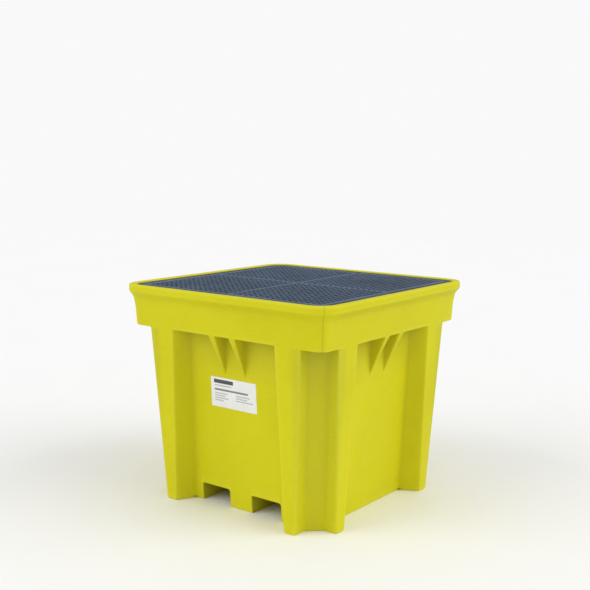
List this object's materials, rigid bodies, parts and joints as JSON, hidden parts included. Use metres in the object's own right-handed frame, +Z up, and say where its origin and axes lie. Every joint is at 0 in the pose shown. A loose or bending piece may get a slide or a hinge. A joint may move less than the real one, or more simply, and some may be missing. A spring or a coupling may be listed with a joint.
{
  "type": "spill containment pallet",
  "caption": "Deep square moulded sump with flared rim, corner posts, gussets, fork channels and lift-out grating deck panels on columns, for holding a bulk liquid tote.",
  "frame": {"origin": "middle of the base, on the ground", "axes": "+Z up; -Y is the front, the side with the label and the mouths of the fork channels; +X is to the right seen from the front"},
  "size_m": [1.354, 1.354, 1.132],
  "materials": {
    "yellow_polyethylene": "moulded yellow polyethylene, satin",
    "label_film": "white printed film",
    "deck_moulding": "moulded slate grey, fine grit",
    "column_pipe": "extruded grey",
    "cap_moulding": "moulded black"
  },
  "bodies": {
    "sump_and_supports": {"sump": "yellow_polyethylene", "label": "label_film", "support_column_1": "column_pipe", "support_column_2": "column_pipe", "support_column_3": "column_pipe", "support_column_4": "column_pipe", "support_column_5": "column_pipe", "support_column_6": "column_pipe", "support_column_7": "column_pipe", "support_column_8": "column_pipe", "support_column_9": "column_pipe", "column_cap_1": "cap_moulding", "column_cap_2": "cap_moulding", "column_cap_3": "cap_moulding", "column_cap_4": "cap_moulding", "column_cap_5": "cap_moulding", "column_cap_6": "cap_moulding", "column_cap_7": "cap_moulding", "column_cap_8": "cap_moulding", "column_cap_9": "cap_moulding"},
    "deck_front_left_panel": {"deck_front_left": "deck_moulding"},
    "deck_front_right_panel": {"deck_front_right": "deck_moulding"},
    "deck_rear_left_panel": {"deck_rear_left": "deck_moulding"},
    "deck_rear_right_panel": {"deck_rear_right": "deck_moulding"}
  },
  "joints": [
    {"name": "lift_front_left", "type": "slide", "parent": "sump_and_supports", "child": "deck_front_left_panel", "axis": [0, 0, 1], "range_m": [0, 0.15]},
    {"name": "lift_front_right", "type": "slide", "parent": "sump_and_supports", "child": "deck_front_right_panel", "axis": [0, 0, 1], "range_m": [0, 0.15]},
    {"name": "lift_rear_left", "type": "slide", "parent": "sump_and_supports", "child": "deck_rear_left_panel", "axis": [0, 0, 1], "range_m": [0, 0.15]},
    {"name": "lift_rear_right", "type": "slide", "parent": "sump_and_supports", "child": "deck_rear_right_panel", "axis": [0, 0, 1], "range_m": [0, 0.15]}
  ]
}
